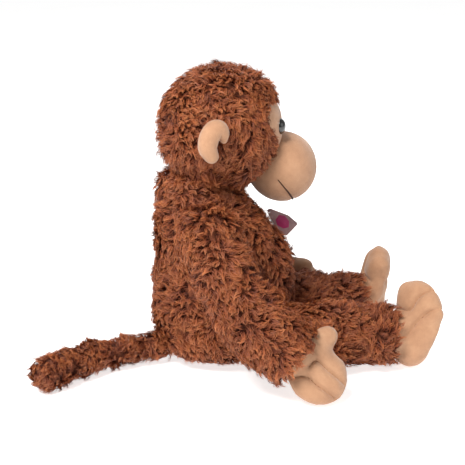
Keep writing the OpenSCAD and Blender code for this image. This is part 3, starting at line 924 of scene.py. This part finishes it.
def puffed(piece, pressure=4.0, frames=20, most=0.0016):
    """Pressure inside rounds the cloth out as stuffing does. No point moves further than most."""
    cloth = piece.modifiers.new("cloth", "CLOTH")
    cloth.settings.use_pressure = True
    cloth.settings.uniform_pressure_force = pressure
    cloth.settings.effector_weights.gravity = 0.0
    cloth.point_cache.frame_start, cloth.point_cache.frame_end = 1, frames
    for frame_number in range(1, frames + 1):
        scene.frame_set(frame_number)
    shape = piece.evaluated_get(bpy.context.evaluated_depsgraph_get()).data
    count = len(piece.data.vertices)
    before, after = np.empty(count * 3), np.empty(count * 3)
    piece.data.vertices.foreach_get("co", before)
    shape.vertices.foreach_get("co", after)
    piece.modifiers.remove(cloth)
    scene.frame_set(1)
    move = (after - before).reshape(-1, 3)
    far = np.linalg.norm(move, axis=1, keepdims=True)
    move *= np.minimum(1.0, most / np.maximum(far, 1e-9))
    piece.data.vertices.foreach_set("co", (before.reshape(-1, 3) + move).ravel())
    print(piece.name, "puffed out by up to", round(float(far.max()) * 1000, 2), "mm before the cap")


# Each line of stitches lies in a sharp crease at the bottom of a wide valley.
VALLEY_DEEP, VALLEY_WIDE = 0.0034, 0.0038
CREASE_DEEP, CREASE_WIDE = 0.0014, 0.0012
CLOTH_VOXEL = 0.0035


def mitt(name, kind, digits, pads, seed):
    """A stuffed mitt in its own axes, in metres, as a mesh object."""
    webs = [(a[1], b[1], min(a[2], b[2]) - 0.8) for a, b in zip(digits[:-1], digits[1:])]
    webs = webs[1:] if kind == "hand" else webs
    shells = [capsule(*d) for d in (*digits, *webs)] + [lump(*p) for p in pads]
    points, faces, start = [], [], 0
    for rings in shells:
        points.append(rings.reshape(-1, 3))
        faces += [tuple(i + start for i in f) for f in ring_faces(len(rings))]
        start += rings.shape[0] * RING
    piece = mesh_object(name, np.vstack(points) * MM, faces, "velour")
    applied(piece, "REMESH", mode="VOXEL", voxel_size=CLOTH_VOXEL, use_smooth_shade=True)
    applied(piece, "SMOOTH", factor=0.7, iterations=3)
    puffed(piece)
    applied(piece, "SMOOTH", factor=0.6, iterations=2)
    applied(piece, "SUBSURF", levels=2)
    count = len(piece.data.vertices)
    co, out = np.empty(count * 3), np.empty(count * 3)
    piece.data.vertices.foreach_get("co", co)
    piece.data.vertices.foreach_get("normal", out)
    co, out = co.reshape(-1, 3), out.reshape(-1, 3)
    co += out * (0.0006 + waves(co, 0.018, seed) * 0.0006)[:, None]
    for seam in digit_seams(kind):
        gap = np.min(np.hypot(co[:, None, 0] - seam[None, :, 0] * MM,
                              co[:, None, 1] - seam[None, :, 1] * MM), axis=1)
        pull = (VALLEY_DEEP * np.exp(-(gap / VALLEY_WIDE) ** 1.3)
                + CREASE_DEEP * np.exp(-(gap / CREASE_WIDE) ** 2))
        co[:, 2] -= np.sign(co[:, 2]) * np.minimum(pull, np.abs(co[:, 2]) * 0.7)
    piece.data.vertices.foreach_set("co", co.ravel())
    piece.data.update()
    return piece, co


# %% Put the mitts on
def stitch_runs(co, kind, turned_by, at):
    """Runs of stitches on both faces of a mitt, lying just on its cloth."""
    runs = []
    for seam in digit_seams(kind):
        for face in (-1, 1):
            run = []
            for x, y in seam[1:] * MM:
                near = co[(np.hypot(co[:, 0] - x, co[:, 1] - y) < 0.0016) & (co[:, 2] * face > 0)]
                if len(near):
                    run.append((x, y, np.abs(near[:, 2]).min() * face))
            if len(run) > 4:
                run = np.array(run)
                run[:, 2] = np.convolve(np.pad(run[:, 2], 2, "edge"), np.ones(5) / 5, "valid")
                runs.append(run @ turned_by.T + at)
    return runs


for kind, digits, pads, ways, shift in (("hand", FINGERS, HAND_PADS, HAND_WAYS, (0, 0, 0)),
                                        ("foot", TOES, FOOT_PADS, FOOT_WAYS, (5.5, -9, -16))):
    for side, sign in SIDES.items():
        body = f"{kind}_{side}"
        at = arm_line(side)[-1] if kind == "hand" else leg_line(side)[-1]
        turned_by = facing(*ways[side], sign)
        at = at + turned_by @ (np.array(shift) * MM)
        piece, co = mitt(body + "_mitt", kind, digits, pads, 81 + sign)
        placed = co @ turned_by.T + at
        placed[:, 2] = np.maximum(placed[:, 2], FLOOR_GAP)
        piece.data.vertices.foreach_set("co", placed.ravel())
        if np.linalg.det(turned_by) < 0:
            piece.data.flip_normals()
        piece.data.update()
        inner = piece.copy()
        inner.data = piece.data.copy()
        inner.name = body + "_filling"
        inner.data.materials[0] = PAINTS["filling"]
        scene.collection.objects.link(inner)
        applied(inner, "DISPLACE", strength=-0.0022, mid_level=0.0)
        applied(inner, "DECIMATE", ratio=0.3)
        names = ("finger", "hand_filling_") if kind == "hand" else ("toe", "foot_filling_")
        fit(piece, body, "velour", f"{kind}_cover_{side}", fill=0.9)
        fit(inner, body, "fibre_filling", names[1] + side, fill=0.9)
        stitches(f"{names[0]}_thread_{side}", stitch_runs(co, kind, turned_by, at), 0.00034, body,
                 "thread", "stitch thread with painted crease shade", f"{names[0]}_stitching_{side}")

# %% [markdown]
# ## Swing tag
# A printed film card with one pointed end and a paper leaf behind it hang from a thin loop at the
# chest. The print is a plain leaf shape.


# %% Tag
def leaf(name, long, wide, thick, paint, turn, back, shape=None, lift=0.0):
    """A flat leaf with one pointed end, in the tag's own axes."""
    if shape is None:
        shape = [(-2.6, -1.0), (-1.0, -2.6), (long * 0.55, -wide / 2), (long - 1.5, -wide / 2),
                 (long, -wide / 2 + 1.5), (long, wide / 2 - 1.5), (long - 1.5, wide / 2),
                 (long * 0.55, wide / 2), (-1.0, 2.6), (-2.6, 1.0)]
    shape = np.array(shape, float)
    c, s = math.cos(turn), math.sin(turn)
    shape = shape @ np.array([[c, s], [-s, c]])
    count = len(shape)
    rows = [np.column_stack([shape, np.full(count, back + lift + z)]) for z in (0, thick)]
    faces = [tuple(range(count - 1, -1, -1)), tuple(range(count, 2 * count))]
    faces += [(i, (i + 1) % count, count + (i + 1) % count, count + i) for i in range(count)]
    points = np.vstack(rows) * MM @ TAG_TURN.T + TAG_AT
    piece = mesh_object(name, points, faces, paint)
    piece.data.polygons.foreach_set("use_smooth", [False] * len(piece.data.polygons))
    return piece


TAG_AT = np.array([0.052, 0.014, 0.143])
x = unit(np.array([0.74, -0.15, -0.66]))
y = unit(np.cross((0.35, 0.93, 0), x))
TAG_TURN = np.column_stack([x, y, np.cross(x, y)])
fit(leaf("tag_film", 29.5, 18, 0.3, "film", 0.0, -0.15), "tag", "tag_film", "tag_card")
fit(leaf("tag_leaf", 28.5, 18, 0.3, "paper", math.radians(8), 0.25), "tag", "tag_paper",
    "tag_insert")
fit(leaf("tag_print", 0, 0, 0.12, "print", 0.0, -0.15, lift=-0.14,
         shape=[(9, -3), (14, -6.5), (21, -5), (25, 0), (22, 4.5), (15, 6), (10, 3)]), "tag", "tag_film")
loop_turn = np.linspace(0, 2 * math.pi, 60)
loop = TAG_AT + MM * np.column_stack([5.7 * np.cos(loop_turn) - 5.7, 5.7 * np.sin(loop_turn),
                                      0 * loop_turn])
stitches("tag_thread", [loop], 0.0005, "torso", "loop_plastic", "loop", "tag_loop")

# %% [markdown]
# ## Floor
# A plain pale floor catches the soft shadow.

# %% Floor
FLOOR_HALF = 15
floor_corners = [(x * FLOOR_HALF, y * FLOOR_HALF, 0) for x, y in ((-1, -1), (1, -1), (1, 1), (-1, 1))]
floor = mesh_object("floor", floor_corners, [(0, 1, 2, 3)], "floor")
